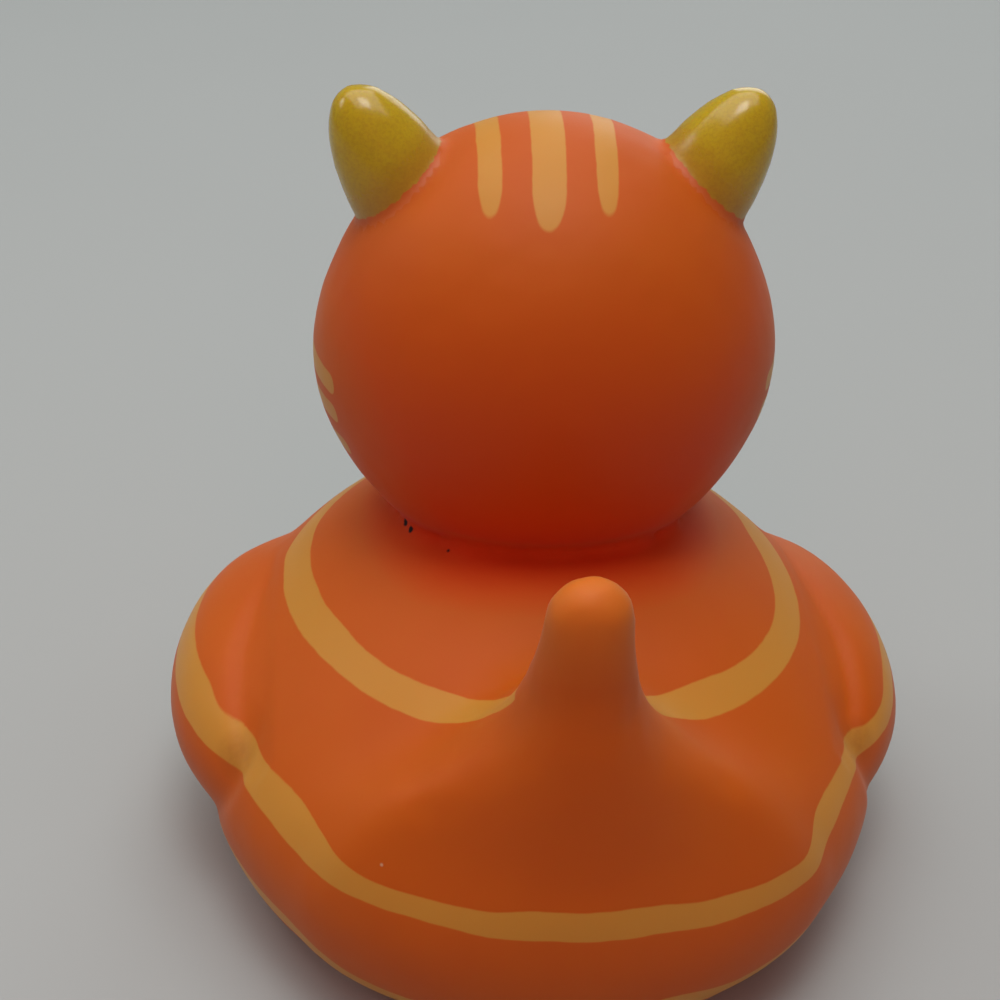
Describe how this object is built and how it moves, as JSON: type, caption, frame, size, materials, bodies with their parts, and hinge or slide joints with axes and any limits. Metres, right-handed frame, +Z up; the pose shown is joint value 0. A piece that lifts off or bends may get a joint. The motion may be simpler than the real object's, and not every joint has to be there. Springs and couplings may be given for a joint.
{
  "type": "rubber duck",
  "caption": "Hollow one-piece vinyl bath duck with pointed ears, low wing lobes, an upright tail prong and a flat base with a breather hole.",
  "frame": {"origin": "centre of the bounding box at the base that the duck stands on", "axes": "+Z up out of the base; the duck faces -Y, its tail is at +Y and its left wing at +X"},
  "size_m": [0.082, 0.0818, 0.0839],
  "materials": {
    "vinyl": "matte orange soft vinyl with painted yellow stripes and glossy painted ears"
  },
  "bodies": {
    "root": {"duck_shell": "vinyl"}
  },
  "joints": []
}
